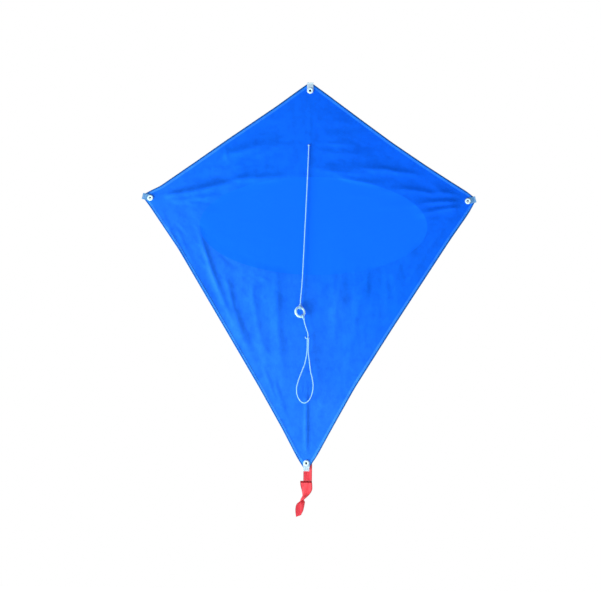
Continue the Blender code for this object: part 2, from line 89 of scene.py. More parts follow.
# How far each edge curves in, in millimetres, at shares of its length; clockwise from the nose
EDGE_HOLLOWS = [
    [(0, 0), (0.1, 0.5), (0.3, 2.6), (0.5, 4.1), (0.7, 2.9), (0.85, 0.7), (0.94, -1.0), (1, 0)],
    [
        (0, 0), (0.05, -2.0), (0.15, 0.9), (0.3, 2.7), (0.5, 4.9), (0.7, 5.6), (0.85, 1.5),
        (0.94, -1.6), (1, 0),
    ],
    [
        (0, 0), (0.05, -1.3), (0.15, 2.3), (0.3, 4.9), (0.55, 6.2), (0.8, 7.4), (0.9, 4.2),
        (0.96, 2.4), (1, 0),
    ],
    [(0, 0), (0.05, 1.4), (0.1, 4.3), (0.3, 3.6), (0.5, 2.4), (0.8, 2.1), (0.94, 0.3), (1, 0)],
]

# Hem
HEM_WIDTH = 6.25 * MM
# The hem's outer rows, out to the next width, are painted with shade where the turned edge falls into
# shadow
HEM_SHADE_EDGE = 2.65 * MM
# On the lower-left edge, the rows from here to the hem's width are painted with the shade at the hem's
# inner edge
SEAM_SHADE_LINE = 5.45 * MM
HEM_RISE = 0.55 * MM
STITCH_GROOVE = 0.25 * MM
STITCH_LINE = 4.5 * MM
HEM_ROWS = [0, 0.3, 0.7, 1.3, 2.0, 2.6, 3.3, 4.0, 4.3, 4.5, 4.7, 5.0, 5.5, 6.2, 7.2]
STITCH_LENGTH = 2.3 * MM
STITCH_STEP = 3.0 * MM
THREAD_RADIUS = 0.17 * MM
HEM_LAYER = 0.22 * MM

# Printed panel
PANEL_CENTRE = (8.5 * MM, -243.5 * MM)
PANEL_HALF = (205.5 * MM, 88.5 * MM)

# Strings
STRING_RADIUS = 0.95 * MM
STRING_PITCH = 6.5 * MM
RING_SPACING = 0.5 * MM
HOLE_KNOT = Vector((-1.3, -2.2, -98.8)) * MM
WRAP_TOP = -89.9 * MM
WRAP_PITCH = 2.0 * MM
RING_CENTRE = Vector((-14.2, -8.5, -398.5)) * MM
RING_RADIUS = 8.7 * MM
RING_TUBE_RADIUS = 2.1 * MM
MOULD_LINE = 0.05 * MM
RING_LEAN = math.radians(28.0)
RING_TILT = math.radians(32.0)
UPPER_HITCH_ANGLE = math.radians(145.0)
LOWER_HITCH_ANGLE = math.radians(5.0)
UPPER_KNOT = node_centre("ring_knot_upper")
LOWER_KNOT = node_centre("ring_knot_lower")
LOOP_KNOT = node_centre("loop_knot")

# Routes of the strings, in millimetres
UPPER_LEG = [
    (-1.6, -2.5, -108.0), (-3.2, -3.1, -158.0), (-6.6, -4.0, -245.0),
    (-10.2, -4.7, -333.0), (-12.9, -5.1, -372.0),
]
LEASH = [(-4.9, -8.1, -421.0), (-1.2, -8.1, -432.0), (0.6, -8.1, -438.5)]
TOW_LOOP = [
    (-0.4, -8.1, -449.6), (-0.8, -8.1, -470), (-4.2, -8.1, -490), (-8.8, -8.1, -503),
    (-15.0, -8.1, -520), (-18.6, -8.1, -534), (-17.9, -8.1, -547), (-12.3, -8.1, -558),
    (-4.0, -8.1, -562), (4.4, -8.1, -556), (9.6, -8.1, -543), (10.8, -8.1, -530), (8.8, -8.1, -516),
    (6.0, -8.1, -505), (3.6, -8.1, -486), (1.5, -8.1, -470), (1.8, -8.1, -449.6),
]
WRAP_RUN = [(-1.7, 1.6, -95.2), (-1.4, 0.8, -97.1)]
KNOT_TAG = [(-1.4, -8.3, -446.4), (-2.5, -8.4, -446.3), (-3.6, -8.6, -445.2), (-4.6, -8.9, -443.2)]

# Ribbon tail
RIBBON_THICKNESS = 0.22 * MM
RIBBON_Y = 9.4 * MM
RIBBON_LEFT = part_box("tail_upper")[0].x
RIBBON_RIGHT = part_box("tail_upper")[1].x
FLAP_FRONT_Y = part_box("tail_flap")[0].y
FLAP_Z = node_centre("tail_flap").z
FLAP_BEND = 1.6 * MM
ROD_SLIT_RADIUS = 2.2 * MM
FOLD_Z = -704.0 * MM
ROLL_RADIUS = 0.8 * MM
WAIST_CURL = 5.4 * MM
STREAMER_LEFT = [
    (-10.6, 9.4, -704.3), (-9.9, 9.6, -712.0), (-7.9, 10.6, -719.5), (-6.6, 13.0, -727.0),
    (-5.6, 15.6, -733.5), (-3.9, 15.4, -737.5), (-1.6, 13.0, -741.5), (-2.6, 11.0, -747.5),
    (-4.8, 10.6, -757.0), (-8.5, 10.2, -765.0),
]
STREAMER_RIGHT = [
    (10.6, 9.4, -704.3), (11.3, 9.2, -712.0), (10.9, 8.2, -719.5), (6.8, 5.8, -727.0),
    (0.2, 3.0, -733.5), (-4.9, 3.4, -737.5), (-13.4, 6.4, -741.5), (-17.8, 8.6, -747.5),
    (-18.8, 8.8, -757.0), (-17.4, 8.6, -768.2),
]

# Camera: level, square to the sail, with a long lens
VIEW_CENTRE = Vector((-13.5, 0, -378)) * MM
VIEW_SIZE = 1.082
VIEW_ROLL = math.radians(0.6)
LENS = 200.0
SENSOR = 36.0

FLOOR_Z = -2.2
FLOOR_HALF = 15.0


# ---- camera, floor and light


def new_object(name, data):
    obj = bpy.data.objects.new(name, data)
    bpy.context.scene.collection.objects.link(obj)
    return obj


def new_material(name):
    made = bpy.data.materials.new(name)
    made.use_nodes = True
    return made, made.node_tree, made.node_tree.nodes["Principled BSDF"]


def node(tree, kind, inputs=None, **settings):
    """A shader node with its settings, and each input linked to a socket or set to a value."""
    made = tree.nodes.new(kind)
    for key, value in settings.items():
        setattr(made, key, value)
    for key, value in (inputs or {}).items():
        if isinstance(value, bpy.types.NodeSocket):
            tree.links.new(value, made.inputs[key])
        else:
            made.inputs[key].default_value = value
    return made


def make_camera():
    data = bpy.data.cameras.new("camera")
    data.lens = LENS
    data.sensor_width = SENSOR
    data.clip_end = 100
    camera = new_object("camera", data)
    distance = VIEW_SIZE / 2 / (SENSOR / 2 / LENS)
    turn = Matrix.Rotation(math.pi / 2, 4, "X") @ Matrix.Rotation(VIEW_ROLL, 4, "Z")
    camera.matrix_world = Matrix.Translation(VIEW_CENTRE - Vector((0, distance, 0))) @ turn
    bpy.context.scene.camera = camera


def area_light(name, place, aim, size, power):
    data = bpy.data.lights.new(name, "AREA")
    data.shape = "SQUARE"
    data.size = size
    data.energy = power
    light = new_object(name, data)
    light.location = place
    light.rotation_mode = "QUATERNION"
    light.rotation_quaternion = (Vector(aim) - Vector(place)).to_track_quat("-Z", "Y")


def make_world():
    """White where it is seen, and a softer white as light."""
    world = bpy.data.worlds.new("studio")
    bpy.context.scene.world = world
    world.use_nodes = True
    tree = world.node_tree
    tree.nodes.clear()
    seen = node(tree, "ShaderNodeBackground", {"Color": (1, 1, 1, 1)})
    soft = node(tree, "ShaderNodeBackground", {"Color": (0.94, 0.97, 1.0, 1), "Strength": 0.36})
    path = node(tree, "ShaderNodeLightPath")
    mix = node(tree, "ShaderNodeMixShader", {
        "Fac": path.outputs["Is Camera Ray"], 1: soft.outputs[0], 2: seen.outputs[0],
    })
    node(tree, "ShaderNodeOutputWorld", {"Surface": mix.outputs[0]})


def make_stage():
    mesh = bpy.data.meshes.new("floor")
    signs = ((-1, -1), (1, -1), (1, 1), (-1, 1))
    mesh.from_pydata([(x * FLOOR_HALF, y * FLOOR_HALF, 0) for x, y in signs], [], [(0, 1, 2, 3)])
    floor = new_object("floor", mesh)
    floor.location = (0, 0, FLOOR_Z)
    made, _, shader = new_material("pale_floor")
    shader.inputs["Base Color"].default_value = (0.9, 0.9, 0.9, 1)
    shader.inputs["Roughness"].default_value = 0.9
    shader.inputs["Specular IOR Level"].default_value = 0.0
    shader.inputs["Emission Color"].default_value = (1, 1, 1, 1)
    shader.inputs["Emission Strength"].default_value = 0.85
    mesh.materials.append(made)


make_camera()
make_world()
make_stage()
area_light("key_light", (-1.75, -0.82, -1.45), (0, 0, -0.40), 1.1, 72)
area_light("front_light", (-0.6, -3.2, 0.2), (0, 0, -0.35), 1.6, 11)
area_light("rear_light", (1.2, 2.4, 1.2), (0, 0, -0.35), 1.4, 26)
bpy.context.scene.view_settings.view_transform = "Standard"


# ---- materials


def mapped(tree, value, lowest, highest, side="To"):
    """A share mapped to this range or, with "From", this range mapped to a share from 0 to 1."""
    inputs = {"Value": value, side + " Min": lowest, side + " Max": highest}
    return node(tree, "ShaderNodeMapRange", inputs).outputs[0]


def paint(tree, shader, colour, rough, lowest, highest):
    """The shader's colour, and its roughness between two values."""
    tree.links.new(colour, shader.inputs["Base Color"])
    tree.links.new(mapped(tree, rough, lowest, highest), shader.inputs["Roughness"])


def millimetres(tree):
    """The object's own coordinates in millimetres."""
    place = node(tree, "ShaderNodeTexCoord").outputs["Object"]
    return node(tree, "ShaderNodeMapping", {"Vector": place, "Scale": (1000, 1000, 1000)}).outputs[0]


def stretched(tree, place, scale, turn=0.0):
    mapping = {"Vector": place, "Scale": scale, "Rotation": (0, turn, 0)}
    return node(tree, "ShaderNodeMapping", mapping).outputs[0]


def noise_of(tree, place, scale, detail=2.0, rough=0.5):
    inputs = {"Vector": place, "Scale": scale, "Detail": detail, "Roughness": rough}
    return node(tree, "ShaderNodeTexNoise", inputs).outputs["Fac"]


def ramp(tree, value, stops):
    """A colour ramp with (position, colour) stops."""
    made = node(tree, "ShaderNodeValToRGB", {"Fac": value})
    elements = made.color_ramp.elements
    while len(elements) < len(stops):
        elements.new(0.5)
    for element, (position, colour) in zip(elements, stops):
        element.position = position
        element.color = (*colour, 1)
    return made.outputs["Color"]


def maths(tree, operation, a, b=0.0, clamp=False):
    return node(tree, "ShaderNodeMath", {0: a, 1: b}, operation=operation, use_clamp=clamp).outputs[0]


def mixed(tree, share, a, b):
    made = tree.nodes.new("ShaderNodeMix")
    made.data_type = "RGBA"
    sockets = {"Factor": share, "A": a, "B": b}
    for key, value in sockets.items():
        socket = [s for s in made.inputs if s.name == key and s.enabled][0]
        if isinstance(value, bpy.types.NodeSocket):
            tree.links.new(value, socket)
        else:
            socket.default_value = value if key == "Factor" else (*value, 1)
    return [s for s in made.outputs if s.enabled][0]


def bump(tree, heights, shader):
    """Bumps laid on each other, each (height socket, strength, distance in metres)."""
    normal = None
    for height, strength, distance in heights:
        inputs = {"Height": height, "Strength": strength, "Distance": distance}
        if normal:
            inputs["Normal"] = normal
        normal = node(tree, "ShaderNodeBump", inputs).outputs[0]
    tree.links.new(normal, shader.inputs["Normal"])


def weave_height(tree, place, period):
    """Threads crossing at right angles, in the plane of x and z."""
    inputs = {"Vector": place, "Scale": 2 * math.pi / 20 / period}
    warp = node(tree, "ShaderNodeTexWave", inputs, bands_direction="X").outputs["Fac"]
    weft = node(tree, "ShaderNodeTexWave", inputs, bands_direction="Z").outputs["Fac"]
    return maths(tree, "MAXIMUM", warp, weft)


def seen_through(tree, shader, colour, share):
    """Cloth that lets some of the light behind it through."""
    back = node(tree, "ShaderNodeBsdfTranslucent", {"Color": colour})
    mix = node(tree, "ShaderNodeMixShader", {"Fac": share, 1: shader.outputs[0], 2: back.outputs[0]})
    output = tree.nodes["Material Output"]
    tree.links.new(mix.outputs[0], output.inputs["Surface"])


# Each cloth's blues, from its top right to its bottom left: painted light, shaded towards the top right
# and lit paler towards the bottom left
SAIL_BLUES = [(0.0004, 0.112, 0.88), (0.0030, 0.150, 0.92), (0.0160, 0.186, 0.93)]
HEM_BLUES = [(0.0160, 0.205, 0.96), (0.0300, 0.245, 0.96), (0.0480, 0.300, 0.96)]
# Painted shade: the dark blues of the hem's shaded outer edge and of the lower-left hem's shaded inner
# line
HEM_SHADE_BLUES = [(0.002, 0.085, 0.30), (0.005, 0.100, 0.35), (0.010, 0.120, 0.40)]
PRINT_BLUE = (0.0030, 0.158, 1.0)


def panel_ink(tree, axes):
    """How much of the printed oval's ink shows: all of it in front, and a quarter behind."""
    squares = []
    for k, axis in enumerate("XZ"):
        off = maths(tree, "SUBTRACT", axes[axis], PANEL_CENTRE[k] / MM)
        squares.append(maths(tree, "POWER", maths(tree, "DIVIDE", off, PANEL_HALF[k] / MM), 2.0))
    radius = maths(tree, "SQRT", maths(tree, "ADD", *squares))
    ink = maths(tree, "MULTIPLY", maths(tree, "SUBTRACT", 1.0, radius), 150.0, clamp=True)
    side = node(tree, "ShaderNodeTexCoord").outputs["Normal"]
    facing = node(tree, "ShaderNodeSeparateXYZ", {"Vector": side}).outputs["Y"]
    front = maths(tree, "LESS_THAN", facing, 0.0)
    strength = maths(tree, "ADD", maths(tree, "MULTIPLY", front, 0.75), 0.25)
    return maths(tree, "MULTIPLY", ink, strength)


def taffeta(name, blues, with_panel=False):
    """Shiny woven polyester with painted light that makes it paler low down and to the left, and a
    printed oval if asked for.
    """
    made, tree, shader = new_material(name)
    place = millimetres(tree)
    axes = node(tree, "ShaderNodeSeparateXYZ", {"Vector": place}).outputs
    # Painted light: the colour slides from the shaded top right to the lit, paler bottom left
    slope = maths(tree, "ADD", maths(tree, "MULTIPLY", axes["X"], 0.8), axes["Z"])
    falloff = mapped(tree, slope, 60.0, -560.0, "From")
    broad = maths(tree, "SUBTRACT", noise_of(tree, place, 0.012, 2.0), 0.5)
    share = maths(tree, "ADD", falloff, maths(tree, "MULTIPLY", broad, 0.35))
    colour = ramp(tree, share, list(zip((0.0, 0.5, 1.0), blues)))
    slub = noise_of(tree, stretched(tree, place, (0.9, 1, 0.03)), 0.8, 2.0)
    slub_across = noise_of(tree, stretched(tree, place, (0.03, 1, 0.9)), 0.8, 2.0)
    threads = maths(tree, "MULTIPLY", maths(tree, "ADD", slub, slub_across), 0.5)
    colour = mixed(tree, maths(tree, "MULTIPLY", threads, 0.10), colour, (0.006, 0.24, 1.0))
    mottle = mapped(tree, noise_of(tree, place, 0.055, 6.0, 0.72), 0.42, 0.66, "From")
    colour = mixed(tree, maths(tree, "MULTIPLY", mottle, 0.34), colour, (0.0003, 0.078, 0.66))
    if with_panel:
        colour = mixed(tree, panel_ink(tree, axes), colour, PRINT_BLUE)
    paint(tree, shader, colour, noise_of(tree, place, 0.15, 3.0), 0.42, 0.56)
    shader.inputs["Specular IOR Level"].default_value = 0.05
    shader.inputs["Sheen Weight"].default_value = 0.02
    shader.inputs["Sheen Roughness"].default_value = 0.4
    crinkle = noise_of(tree, place, 0.22, 3.0, 0.55)
    bump(tree, [
        (crinkle, 0.25, 0.5 * MM),
        (threads, 0.2, 0.12 * MM),
        (weave_height(tree, place, 0.42), 0.35, 0.05 * MM),
    ], shader)
    seen_through(tree, shader, colour, 0.15)
    return made


def ribbon_cloth(name, reds):
    """Woven ribbon, streaked along its length and pinker towards its loose end."""
    made, tree, shader = new_material(name)
    place = millimetres(tree)
    streak = noise_of(tree, stretched(tree, place, (0.6, 0.6, 0.08)), 0.6, 3.0)
    colour = ramp(tree, streak, list(zip((0.3, 0.55, 0.8), reds)))
    height = node(tree, "ShaderNodeSeparateXYZ", {"Vector": place}).outputs["Z"]
    low_end = mapped(tree, height, -736.0, -750.0, "From")
    colour = mixed(tree, maths(tree, "MULTIPLY", low_end, 0.25), colour, (0.86, 0.040, 0.095))
    paint(tree, shader, colour, noise_of(tree, place, 0.5, 2.0), 0.5, 0.64)
    shader.inputs["Specular IOR Level"].default_value = 0.2
    shader.inputs["Sheen Weight"].default_value = 0.1
    crinkle = noise_of(tree, place, 0.5, 3.0, 0.5)
    weave = weave_height(tree, place, 0.36)
    bump(tree, [(crinkle, 0.35, 0.4 * MM), (weave, 0.4, 0.05 * MM)], shader)
    seen_through(tree, shader, colour, 0.38)
    return made


def string_fibre():
    """Fuzzy twisted string, a little uneven in colour."""
    made, tree, shader = new_material("twisted_string")
    place = millimetres(tree)
    fuzz = noise_of(tree, place, 2.2, 4.0, 0.6)
    soil = noise_of(tree, place, 0.05, 2.0)
    colour = ramp(tree, fuzz, [(0.3, (0.12, 0.36, 0.78)), (0.6, (0.24, 0.56, 0.96))])
    colour = mixed(tree, maths(tree, "MULTIPLY", soil, 0.3), colour, (0.46, 0.72, 0.98))
    paint(tree, shader, colour, fuzz, 0.65, 0.85)
    shader.inputs["Sheen Weight"].default_value = 0.3
    bump(tree, [(fuzz, 0.5, 0.12 * MM)], shader)
    return made


def plastic(name, dark, light, rough, translucent=0.0, scuff=0.25, alpha=1.0, soft=0.0):
    """Moulded plastic: faintly cloudy, with a fine orange peel and small scuffs."""
    made, tree, shader = new_material(name)
    place = millimetres(tree)
    cloud = noise_of(tree, place, 0.35, 3.0)
    colour = ramp(tree, cloud, [(0.35, dark), (0.65, light)])
    marks = noise_of(tree, stretched(tree, place, (3.0, 0.8, 0.8), 0.5), 1.4, 5.0, 0.7)
    paint(tree, shader, colour, marks, rough, rough + scuff)
    peel = noise_of(tree, place, 2.5, 2.0)
    bump(tree, [(peel, 0.12, 0.08 * MM), (marks, 0.1, 0.04 * MM)], shader)
    shader.inputs["Alpha"].default_value = alpha
    if soft:
        shader.inputs["Subsurface Weight"].default_value = soft
        shader.inputs["Subsurface Radius"].default_value = (1.0, 1.0, 1.0)
        shader.inputs["Subsurface Scale"].default_value = 3.0 * MM
    if translucent:
        seen_through(tree, shader, colour, translucent)
    return made


def fibreglass():
    """Pulled black rod: fine fibres along it under a thin resin gloss."""
    made, tree, shader = new_material("black_fibreglass")
    place = millimetres(tree)
    scales = ((6, 6, 0.06), (0.06, 6, 6))
    both = [noise_of(tree, stretched(tree, place, scale), 1.0, 3.0) for scale in scales]
    fibres = maths(tree, "MULTIPLY", maths(tree, "ADD", *both), 0.5)
    colour = ramp(tree, fibres, [(0.4, (0.008, 0.008, 0.010)), (0.6, (0.035, 0.035, 0.040))])
    paint(tree, shader, colour, fibres, 0.28, 0.5)
    bump(tree, [(fibres, 0.3, 0.05 * MM)], shader)
    shader.inputs["Coat Weight"].default_value = 0.15
    return made


SAIL_CLOTH = taffeta("sail_taffeta", SAIL_BLUES, with_panel=True)
HEM_CLOTH = taffeta("hem_taffeta", HEM_BLUES)
HEM_SHADE_CLOTH = taffeta("hem_painted_shade_taffeta", HEM_SHADE_BLUES)
RIBBON_REDS = [(0.78, 0.060, 0.084), (0.86, 0.100, 0.128), (0.91, 0.160, 0.188)]
# Painted shade for the ribbon's edges and for the crease where it folds
RIBBON_SHADE_REDS = [(0.30, 0.006, 0.012), (0.40, 0.010, 0.018), (0.52, 0.022, 0.030)]
RIBBON = ribbon_cloth("red_ribbon", RIBBON_REDS)
RIBBON_PAINTED_SHADE = ribbon_cloth("red_ribbon_painted_shade", RIBBON_SHADE_REDS)
STRING = string_fibre()
THREAD = plastic("blue_thread", (0.004, 0.13, 0.80), (0.012, 0.22, 0.95), 0.55)
MILKY = plastic(
    "milky_plastic", (0.54, 0.74, 0.84), (0.72, 0.88, 0.94), 0.28, translucent=0.3, alpha=0.82,
)
# The same milky plastic as the other caps, with painted light: the sail's blue seen through it is
# painted into its colour
SAIL_LIT_MILKY = plastic(
    "milky_plastic_painted_sail_light", (0.08, 0.34, 0.68), (0.20, 0.46, 0.76), 0.28, translucent=0.3, alpha=0.8,
)
CLEAR = plastic("clear_plastic", (0.50, 0.60, 0.66), (0.62, 0.70, 0.76), 0.16, alpha=0.24)
ENAMEL = plastic("white_enamel", (0.50, 0.70, 0.82), (0.60, 0.79, 0.90), 0.18, scuff=0.2)
RING_WHITE = plastic(
    "white_ring_plastic", (0.44, 0.73, 0.88), (0.55, 0.83, 0.96), 0.3, scuff=0.15, soft=0.6,
)
BLACK = plastic("black_plastic", (0.012, 0.012, 0.014), (0.03, 0.03, 0.033), 0.35)
GLASS_ROD = fibreglass()


# ---- shape helpers


def add_solid(name, vertices, faces, mat):
    """A smooth mesh object whose faces all point outward."""
    mesh = bpy.data.meshes.new(name)
    mesh.from_pydata([tuple(v) for v in vertices], [], faces)
    mesh.materials.append(mat)
    mesh.validate()
    mesh.shade_smooth()
    bm = bmesh.new()
    bm.from_mesh(mesh)
    bmesh.ops.recalc_face_normals(bm, faces=bm.faces)
    bm.to_mesh(mesh)
    bm.free()
    obj = new_object(name, mesh)
    return obj


def add_cutter(name, bm):
    """A plain object from the finished bmesh, for a cut that is applied at once."""
    mesh = bpy.data.meshes.new(name)
    bm.to_mesh(mesh)
    bm.free()
    return new_object(name, mesh)


def stand_in(obj, body, node_name):
    """The object moves with this body and is seen in place of this node."""
    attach(obj, body)
    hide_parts(node_name)


def apply_modifiers(obj):
    """The object's mesh as its modifiers leave it, with none left on it."""
    bpy.context.view_layer.update()
    evaluated = obj.evaluated_get(bpy.context.evaluated_depsgraph_get())
    mesh = bpy.data.meshes.new_from_object(evaluated)
    obj.modifiers.clear()
    obj.data = mesh


def thicken(obj, thickness):
    solid = obj.modifiers.new("thickness", "SOLIDIFY")
    solid.thickness = thickness
    solid.offset = 0


def cut_away(obj, cutter):
    """The cutter's shape taken out of the object, and the cutter removed."""
    cut = obj.modifiers.new("cut", "BOOLEAN")
    cut.operation = "DIFFERENCE"
    cut.solver = "EXACT"
    cut.object = cutter
    apply_modifiers(obj)
    bpy.data.objects.remove(cutter)


def soften_shading(mesh):
    mesh.shade_smooth()
    mesh.set_sharp_from_angle(angle=math.radians(50))


def bands(rows, around, first=0):
    """Faces between successive closed rows of points, each with this many points around."""
    faces = []
    for row in range(rows - 1):
        a = first + row * around
        for k in range(around):
            n = (k + 1) % around
            faces.append((a + k, a + n, a + around + n, a + around + k))
    return faces


def round_trip(rows, around):
    """The same, with the last row joined to the first."""
    last = (rows - 1) * around
    faces = bands(rows, around)
    for k in range(around):
        n = (k + 1) % around
        faces.append((last + k, last + n, n, k))
    return faces


def catmull_rom(a, b, c, d, t):
    square = 2 * a - 5 * b + 4 * c - d
    cube = 3 * b - a - 3 * c + d
    return 0.5 * (2 * b + (c - a) * t + square * t * t + cube * t * t * t)


def smooth_route(route, spacing=None, spans=None):
    """Points on a smooth curve through the route, about a spacing apart or in so many equal spans."""
    steps = 40
    knots = [2 * route[0] - route[1], *route, 2 * route[-1] - route[-2]]
    fine = []
    for a, b, c, d in zip(knots, knots[1:], knots[2:], knots[3:]):
        fine += [catmull_rom(a, b, c, d, i / steps) for i in range(steps)]
    fine.append(route[-1])
    line = np.array(fine)
    along = np.concatenate([[0], np.cumsum(np.linalg.norm(np.diff(line, axis=0), axis=1))])
    spans = spans or max(1, round(along[-1] / spacing))
    at = np.linspace(0, along[-1], spans + 1)
    return np.stack([np.interp(at, along, line[:, k]) for k in range(3)], axis=1)


def in_metres(route):
    return [Vector(p) * MM for p in route]


def carried_frames(points, closed):
    """Unit tangents and two unit normals at each point, carried along with no twist."""
    if closed:
        ahead = np.roll(points, -1, axis=0) - np.roll(points, 1, axis=0)
    else:
        ahead = np.gradient(points, axis=0)
    tangents = ahead / np.linalg.norm(ahead, axis=1)[:, None]
    side = np.cross(tangents[0], (0.0, 1.0, 0.0))
    if np.linalg.norm(side) < 0.1:
        side = np.cross(tangents[0], (1.0, 0.0, 0.0))
    normals = []
    for t in tangents:
        side = side - t * (side @ t)
        side = side / np.linalg.norm(side)
        normals.append(side)
    normals = np.array(normals)
    return tangents, normals, np.cross(tangents, normals)


def tube_mesh(points, radius, sides=16, relief=0.16, pitch=STRING_PITCH, closed=False):
    """Vertices and faces of a twisted string: a tube with three strands that wind round it."""
    points = np.array(points, float)
    _, across, up = carried_frames(points, closed)
    along = np.concatenate([[0], np.cumsum(np.linalg.norm(np.diff(points, axis=0), axis=1))])
    turns = np.linspace(0, 2 * math.pi, sides, endpoint=False)
    angle = np.broadcast_to(turns, (len(points), sides))
    wound = 1.5 * (angle - 2 * math.pi * along[:, None] / pitch)
    reach = radius * (1 - relief + relief * np.abs(np.cos(wound)) ** 0.7)
    rings = (
        points[:, None, :]
        + across[:, None, :] * (reach * np.cos(angle))[:, :, None]
        + up[:, None, :] * (reach * np.sin(angle))[:, :, None]
    )
    vertices = [tuple(v) for v in rings.reshape(-1, 3)]
    count = len(points)
    if closed:
        return vertices, round_trip(count, sides)
    faces = bands(count, sides)
    last = (count - 1) * sides
    for k in range(sides):
        n = (k + 1) % sides
        faces.append((n, k, len(vertices)))
        faces.append((last + k, last + n, len(vertices) + 1))
    vertices.append(tuple(points[0] - (points[1] - points[0]) / 2))
    vertices.append(tuple(points[-1] + (points[-1] - points[-2]) / 2))
    return vertices, faces


def string_piece(name, points, radius=STRING_RADIUS, closed=False, **shape):
    vertices, faces = tube_mesh(points, radius, closed=closed, **shape)
    return add_solid(name, vertices, faces, STRING)


# ---- cords


def ring_axes():
    long = Vector((math.sin(RING_LEAN), 0, -math.cos(RING_LEAN)))
    across = Vector((math.cos(RING_LEAN), 0, math.sin(RING_LEAN)))
    short = across * math.cos(RING_TILT) + Vector((0, math.sin(RING_TILT), 0))
    return long, short, long.cross(short)


def ring_radial(angle):
    long, short, _ = ring_axes()
    return long * math.cos(angle) + short * math.sin(angle)


def overhand_knot(name, centre, size, axis, strand):
    """A pulled overhand knot: a closed three-lobed run of string, drawn out along its own line."""
    steps = 96
    points = []
    for i in range(steps):
        t = 2 * math.pi * i / steps
        x = math.sin(t) + 2 * math.sin(2 * t)
        y = math.cos(t) - 2 * math.cos(2 * t)
        z = -1.25 * math.sin(3 * t)
        points.append(Vector((x * size[0], y * size[1], z * size[2])) / 3)
    turn = Vector(axis).to_track_quat("Z", "Y").to_matrix()
    points = [turn @ p + centre for p in points]
    return string_piece(name, points, strand, closed=True, sides=12, relief=0.12, pitch=2.2 * MM)


def hitch_piece(name, angle, knot):
    """Two snug turns of string round the ring's tube, and the run from them into the knot."""
    axis = ring_axes()[2]
    snug = RING_TUBE_RADIUS + STRING_RADIUS * 0.86
    steps = 72
    turns = 2
    points = []
    for i in range(steps + 1):
        share = i / steps
        at = angle + (share - 0.5) * turns * 1.75 * MM / RING_RADIUS
        turn = 2 * math.pi * turns * share
        out = ring_radial(at) * math.cos(turn) + axis * math.sin(turn)
        points.append(RING_CENTRE + RING_RADIUS * ring_radial(at) + snug * out)
    points = [points[0].lerp(knot, s) for s in (0.9, 0.6, 0.3)] + points
    points += [points[-1].lerp(knot, s) for s in (0.3, 0.6, 0.9)]
    return string_piece(name, np.array(points), STRING_RADIUS * 0.9, sides=14)


def make_ring():
    """The tow ring, with the fine line where its mould's halves met."""
    axis = ring_axes()[2]
    around = 96
    sides = 32
    vertices = []
    for i in range(around):
        radial = ring_radial(2 * math.pi * i / around)
        for k in range(sides):
            turn = 2 * math.pi * k / sides
            reach = RING_TUBE_RADIUS + (MOULD_LINE if k in (0, sides // 2) else 0.0)
            out = radial * math.cos(turn) + axis * math.sin(turn)
            vertices.append(RING_CENTRE + radial * RING_RADIUS + out * reach)
    faces = round_trip(around, sides)
    ring = add_solid("ring", vertices, faces, RING_WHITE)
    stand_in(ring, "ring", "tow_ring")
    return ring


def make_strings():
    ring = make_ring()
    for name, node_name, centre, size, axis, body in (
        ("hole_knot", "bridle_hole_knot", HOLE_KNOT, (1.35, 1.35, 1.3), (0, 0, 1), "airframe"),
        ("upper_ring_knot", "ring_knot_upper", UPPER_KNOT, (1.35, 1.35, 1.3), (0, 0, 1), "ring"),
        ("lower_ring_knot", "ring_knot_lower", LOWER_KNOT, (1.35, 1.35, 1.3), (0.45, 0, -0.89), "ring"),
        ("leash_knot", "loop_knot", LOOP_KNOT, (1.9, 1.8, 2.9), (0.05, 0, 1), "leash"),
    ):
        thick = (0.78 if body == "leash" else 0.6) * MM
        knot = overhand_knot(name, centre, Vector(size) * MM, axis, thick)
        stand_in(knot, body, node_name)
    upper_hitch = hitch_piece("upper_hitch", UPPER_HITCH_ANGLE, UPPER_KNOT)
    lower_hitch = hitch_piece("lower_hitch", LOWER_HITCH_ANGLE, LOWER_KNOT)
    stand_in(upper_hitch, "ring", "ring_hitch_upper")
    stand_in(lower_hitch, "ring", "ring_hitch_lower")

    route = [HOLE_KNOT, *in_metres(UPPER_LEG), UPPER_KNOT]
    points = smooth_route(route, RING_SPACING)
    leg = string_piece("bridle_line", points)
    stand_in(leg, "bridle_leg", "bridle_upper_leg")

    route = [LOWER_KNOT, *in_metres(LEASH), LOOP_KNOT + Vector((0, 0, 1.4 * MM))]
    points = smooth_route(route, RING_SPACING)
    leash = string_piece("leash", points)
    stand_in(leash, "leash", "leash_line")
    tag = string_piece("tag_end", smooth_route(in_metres(KNOT_TAG), 0.3 * MM), 0.8 * MM)
    stand_in(tag, "leash", "knot_tag_end")

    route = in_metres(TOW_LOOP)
    inside = [LOOP_KNOT + Vector((side * 0.45 * MM, 0, -0.7 * MM)) for side in (-1, 1)]
    points = smooth_route([inside[0], *route, inside[1]], RING_SPACING)
    loop = string_piece("towing_loop", points)
    stand_in(loop, "loop", "tow_loop")


def make_anchor_wrap():
    """Two turns of the string round the spine, and its run forward through the hole in the sail."""
    radius = ROD_RADIUS + STRING_RADIUS
    turns = 2
    steps = 48 * turns
    leave = math.radians(45)
    points = []
    for i in range(steps + 1):
        turn = leave + 2 * math.pi * turns * (1 - i / steps)
        y = SPINE.y - radius * math.cos(turn)
        points.append(Vector((-radius * math.sin(turn), y, WRAP_TOP - WRAP_PITCH * turns * i / steps)))
    run = [points[-1], *in_metres(WRAP_RUN), BRIDLE_HOLE, HOLE_KNOT]
    line = np.concatenate([np.array(points[:-1]), smooth_route(run, RING_SPACING)])
    wrap = string_piece("anchor_wrap", line)
    stand_in(wrap, "airframe", "bridle_anchor_wrap")


make_strings()
make_anchor_wrap()


# ---- sail


def flat(x, z):
    return np.array((x, z))


